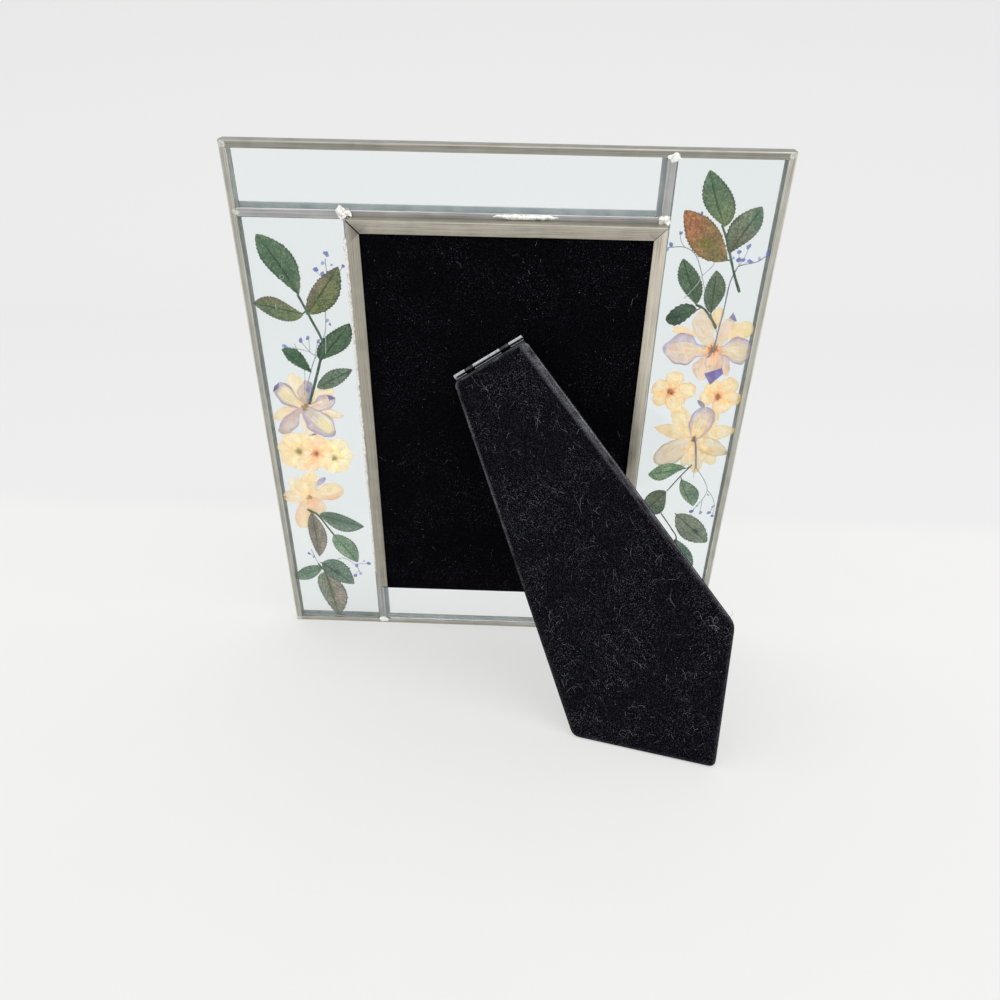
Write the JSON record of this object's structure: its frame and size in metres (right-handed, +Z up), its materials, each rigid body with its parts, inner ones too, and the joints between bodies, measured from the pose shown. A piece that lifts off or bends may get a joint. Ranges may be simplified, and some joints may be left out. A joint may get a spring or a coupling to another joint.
{
  "type": "pressed flower photo frame",
  "caption": "Small leaded-glass photo frame with pressed leaves and flowers sealed in its side panels, standing on a slide-out black velvet easel back.",
  "frame": {"origin": "on the table, under the middle of the standing frame's bounding box", "axes": "+Z up, +X to the right seen from behind, -Y towards the easel leg, +Y towards the display side"},
  "size_m": [0.18, 0.0958, 0.1957],
  "materials": {
    "came": "drawn zinc came, dull grey with bright rubbed ridges",
    "channel": "tinned U-channel, warm beige grey",
    "solder": "hand-run solder, bright and lumpy",
    "hinge_steel": "plated spring steel",
    "glass": "clear window glass, faintly blue green",
    "velvet": "black flocked velvet over fibreboard, with pale lint",
    "green_leaf": "pressed leaves, mottled grey green with dark margins",
    "amber_leaf": "pressed leaves turned orange and brown",
    "cream_petal": "pressed petals, translucent cream with lilac edges",
    "yellow_petal": "pressed petals, translucent pale yellow",
    "blue_floret": "pressed florets, dusty blue on grey violet stems"
  },
  "bodies": {
    "frame": {"rail_top": "came", "rail_bottom": "came", "rail_left": "came", "rail_right": "came", "came_right_upright": "came", "came_left_upright": "came", "came_upper": "came", "came_lower": "came", "pane_top": "glass", "pane_bottom": "glass", "pane_window": "glass", "left_panel_back_sheet": "glass", "left_panel_front_sheet": "glass", "right_panel_back_sheet": "glass", "right_panel_front_sheet": "glass", "left_leaf_spray_upper": "green_leaf", "left_leaf_spray_middle": "green_leaf", "left_leaf_spray_lower": "green_leaf", "left_blue_sprig_upper": "blue_floret", "left_blue_sprig_lower": "blue_floret", "left_cream_flower": "cream_petal", "left_yellow_flower_1": "yellow_petal", "left_yellow_flower_2": "yellow_petal", "left_yellow_flower_3": "yellow_petal", "left_yellow_flower_large": "yellow_petal", "right_leaf_spray_top": "amber_leaf", "right_leaf_spray_second": "green_leaf", "right_leaf_pair": "green_leaf", "right_loose_leaf_small": "green_leaf", "right_loose_leaf_grey": "green_leaf", "right_leaf_spray_lowest": "green_leaf", "right_blue_sprig_upper": "blue_floret", "right_blue_sprig_lower": "blue_floret", "right_cream_flower": "cream_petal", "right_yellow_flower_1": "yellow_petal", "right_yellow_flower_2": "yellow_petal", "right_cream_flower_large": "cream_petal", "channel_top": "channel", "channel_left": "channel", "channel_right": "channel", "solder_corner_top_left": "solder", "solder_corner_top_right": "solder", "solder_corner_bottom_left": "solder", "solder_corner_bottom_right": "solder", "solder_joint_top": "solder", "solder_joint_left": "solder", "solder_joint_bottom": "solder", "solder_channel_left": "solder", "solder_channel_middle": "solder", "solder_channel_right": "solder", "solder_channel_seam": "solder"},
    "easel_back": {"easel_board": "velvet", "hinge_leaf_board": "hinge_steel", "hinge_pin": "hinge_steel"},
    "easel_leg": {"hinge_leaf_leg": "hinge_steel", "easel_leg": "velvet"}
  },
  "joints": [
    {"name": "easel_back_slide", "type": "slide", "parent": "frame", "child": "easel_back", "axis": [0, 0.2169, -0.9762], "range_m": [0, 0.15]},
    {"name": "leg_hinge", "type": "hinge", "parent": "easel_back", "child": "easel_leg", "pos_m": [-0.00475, 0.00848, 0.12723], "axis": [0.829, -0.1213, 0.5459], "range_deg": [0, 30]}
  ]
}
